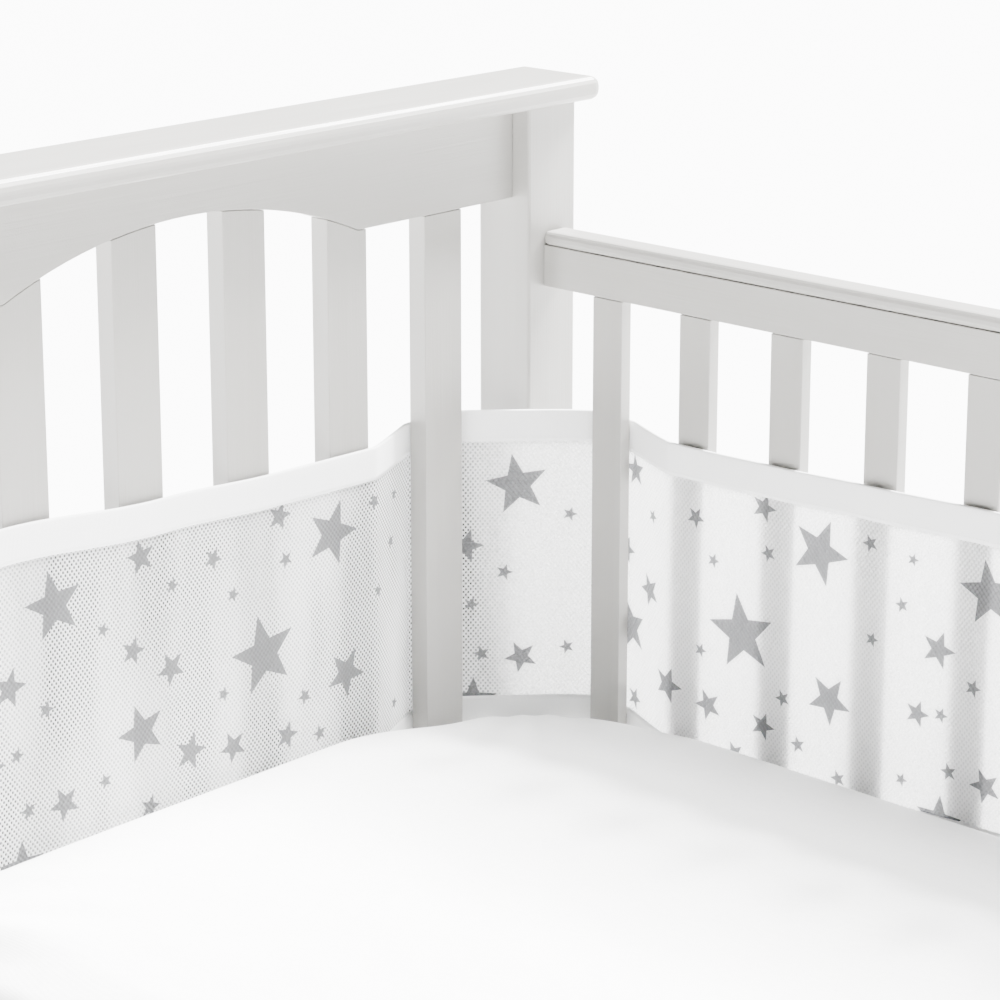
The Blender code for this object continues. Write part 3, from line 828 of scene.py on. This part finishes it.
FLOOR_SIZE = 60.0
FLOOR_TONE = (0.860, 0.860, 0.860)
FLOOR_TONE_LOW = (0.800, 0.800, 0.800)
FLOOR_GRIT_SCALE = 30.0
SURROUND_STRENGTH = 0.22
TOP_FROM = (0.34, 0.22, 1.00)
TOP_SPREAD = math.radians(24)
TOP_STRENGTH = 9.0
BACK_FROM = (0.09, 0.68, 0.85)
BACK_SPREAD = math.radians(20)
BACK_STRENGTH = 44.0


def pale_floor():
    """A large plain floor with a matt, slightly uneven surface."""
    material, tree, shader = new_finish("pale_floor")
    place = add_node(tree, "ShaderNodeTexCoord", {}).outputs["Object"]
    grit = noise_node(tree, place, FLOOR_GRIT_SCALE, 4.0)
    tone = blend_colours(tree, ease_node(tree, grit, 0.3, 0.8, 0.0, 0.1), FLOOR_TONE, FLOOR_TONE_LOW)
    tree.links.new(tone, shader.inputs["Base Color"])
    shader.inputs["Roughness"].default_value = 0.9
    half = FLOOR_SIZE / 2
    mesh = bpy.data.meshes.new("floor")
    corners = [(-half, -half, 0), (half, -half, 0), (half, half, 0), (-half, half, 0)]
    mesh.from_pydata(corners, [], [(0, 1, 2, 3)])
    mesh.materials.append(material)
    floor = bpy.data.objects.new("floor", mesh)
    bpy.context.scene.collection.objects.link(floor)


def soft_light(name, come_from, spread, strength):
    """An even light from one direction, with soft shadows."""
    lamp = bpy.data.lights.new(name, "SUN")
    lamp.angle = spread
    lamp.energy = strength
    holder = bpy.data.objects.new(name, lamp)
    holder.location = come_from
    holder.rotation_euler = (-Vector(come_from)).to_track_quat("-Z", "Y").to_euler()
    bpy.context.scene.collection.objects.link(holder)


pale_floor()
soft_light("top_light", TOP_FROM, TOP_SPREAD, TOP_STRENGTH)
soft_light("back_light", BACK_FROM, BACK_SPREAD, BACK_STRENGTH)
surround = bpy.data.worlds.new("pale_surround")
surround.use_nodes = True
surround.node_tree.nodes["Background"].inputs["Color"].default_value = (1.0, 1.0, 1.0, 1.0)
surround.node_tree.nodes["Background"].inputs["Strength"].default_value = SURROUND_STRENGTH
bpy.context.scene.world = surround


# Camera. A long lens above the near side of the crib, looking down into its corner.

EYE_PLACE = (1.5760, -1.7175, 1.3471)
EYE_HEADING = math.radians(133.054)
EYE_TILT = math.radians(14.152)
EYE_LENS = 110.57
EYE_SHIFT = -0.15

eye = bpy.data.cameras.new("eye")
eye.lens = EYE_LENS
eye.sensor_width = 36.0
eye.shift_y = EYE_SHIFT
eye_holder = bpy.data.objects.new("eye", eye)
eye_holder.location = EYE_PLACE
gaze = Vector((math.cos(EYE_HEADING) * math.cos(EYE_TILT), math.sin(EYE_HEADING) * math.cos(EYE_TILT),
               -math.sin(EYE_TILT)))
eye_holder.rotation_euler = gaze.to_track_quat("-Z", "Y").to_euler()
bpy.context.scene.collection.objects.link(eye_holder)
bpy.context.scene.camera = eye_holder
